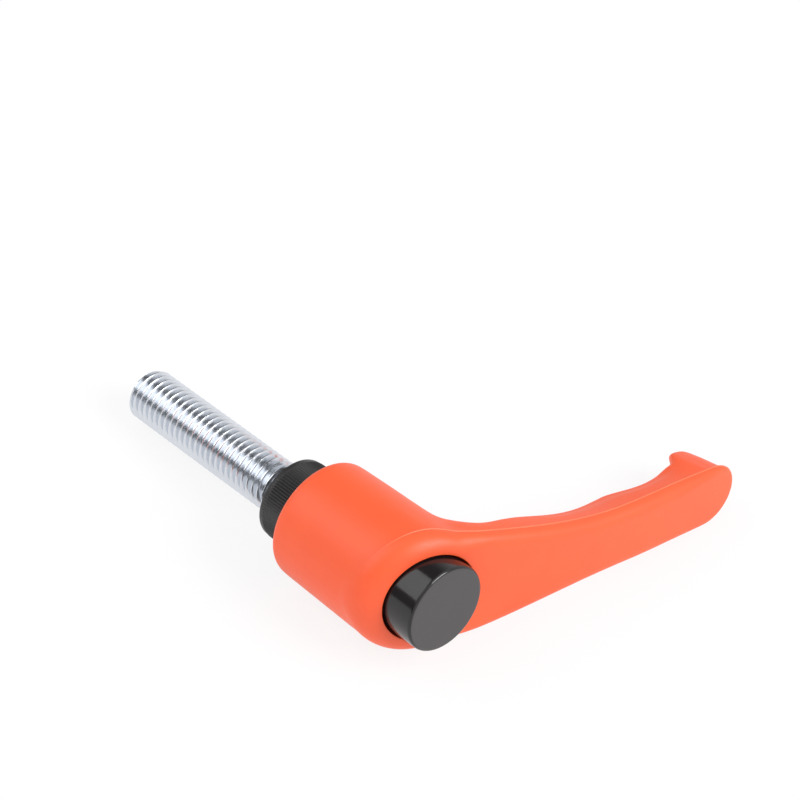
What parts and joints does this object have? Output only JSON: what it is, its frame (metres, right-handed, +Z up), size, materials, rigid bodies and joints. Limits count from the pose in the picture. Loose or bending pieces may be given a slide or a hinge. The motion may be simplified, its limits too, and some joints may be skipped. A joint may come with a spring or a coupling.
{
  "type": "clamping lever",
  "caption": "Adjustable clamping lever: hollow curved arm on a drum-shaped head, toothed coupling with a fluted collar, push button and threaded stud.",
  "frame": {"origin": "on the stud's axis where the full thread begins, 3.3 mm from the clamping face", "axes": "+Z up from the surface that the lever lies on, +X along the arm towards its tip, +Y towards the free end of the stud"},
  "size_m": [0.1026, 0.1015, 0.0319],
  "materials": {
    "lever": "fine matt moulded texture",
    "collar": "satin moulded",
    "stud": "bright zinc plating",
    "spring": "drawn wire",
    "screw": "bright zinc plating",
    "button": "polished side, satin face"
  },
  "bodies": {
    "core": {"threaded_stud": "stud", "toothed_collar": "collar", "retaining_screw": "screw", "push_button": "button"},
    "spring": {"return_spring": "spring"},
    "lever": {"lever_body": "lever"}
  },
  "joints": [
    {"name": "lever_lift", "type": "slide", "parent": "core", "child": "spring", "axis": [0, -0.9915, 0.1303], "range_m": [0, 0.0046], "stiffness_N_per_m": 1500, "springref_m": -0.003, "deforming": ["return_spring"]},
    {"name": "lever_index", "type": "hinge", "parent": "spring", "child": "lever", "pos_m": [0, 0, 0], "axis": [0, -0.9915, 0.1303], "continuous": true}
  ]
}
